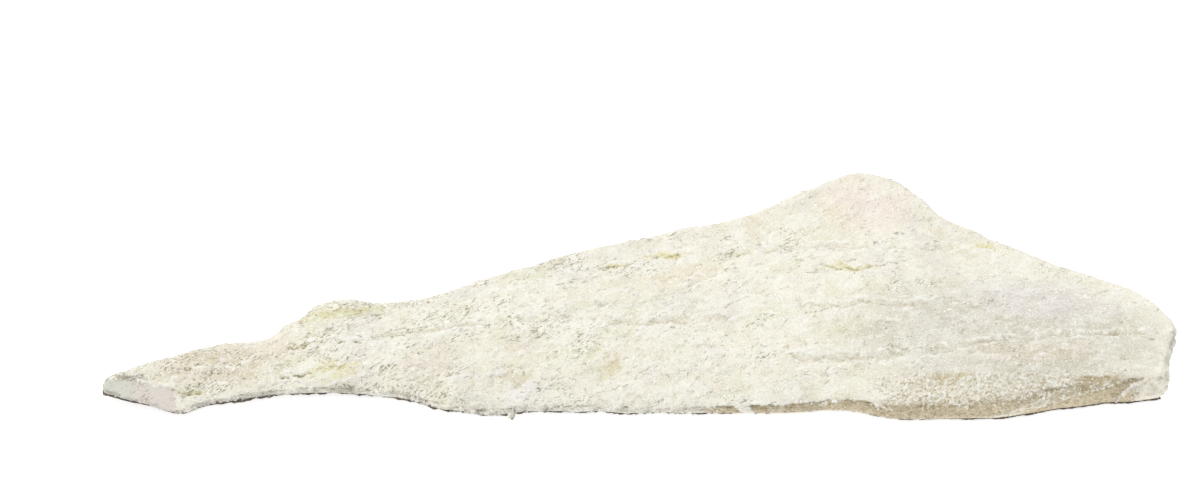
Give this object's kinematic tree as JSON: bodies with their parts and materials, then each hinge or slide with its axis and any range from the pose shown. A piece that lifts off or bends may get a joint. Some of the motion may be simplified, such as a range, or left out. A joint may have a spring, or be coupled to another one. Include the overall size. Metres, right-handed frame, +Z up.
{
  "type": "salted dried cod fillet",
  "caption": "Long flat salted and dried cod fillet with skin, thick along the back edge and at the head end, thin at the belly flap and tail; a food prop that rests on its skin side.",
  "frame": {"origin": "middle of the bounding box in plan, at the height of the surface that the fillet rests on", "axes": "+X from the tail to the head end, +Y from the thick back edge to the thin belly edge, +Z up from the skin side to the flesh side"},
  "size_m": [0.4972, 0.1432, 0.0255],
  "materials": {
    "salted_flesh": "matt cream-white salted dried flesh with a dry salt crust",
    "fish_skin": "dried grey-brown fish skin, salt-dusted, satin",
    "salt": "coarse white salt grains"
  },
  "bodies": {
    "root": {"fillet": "salted_flesh"}
  },
  "joints": []
}
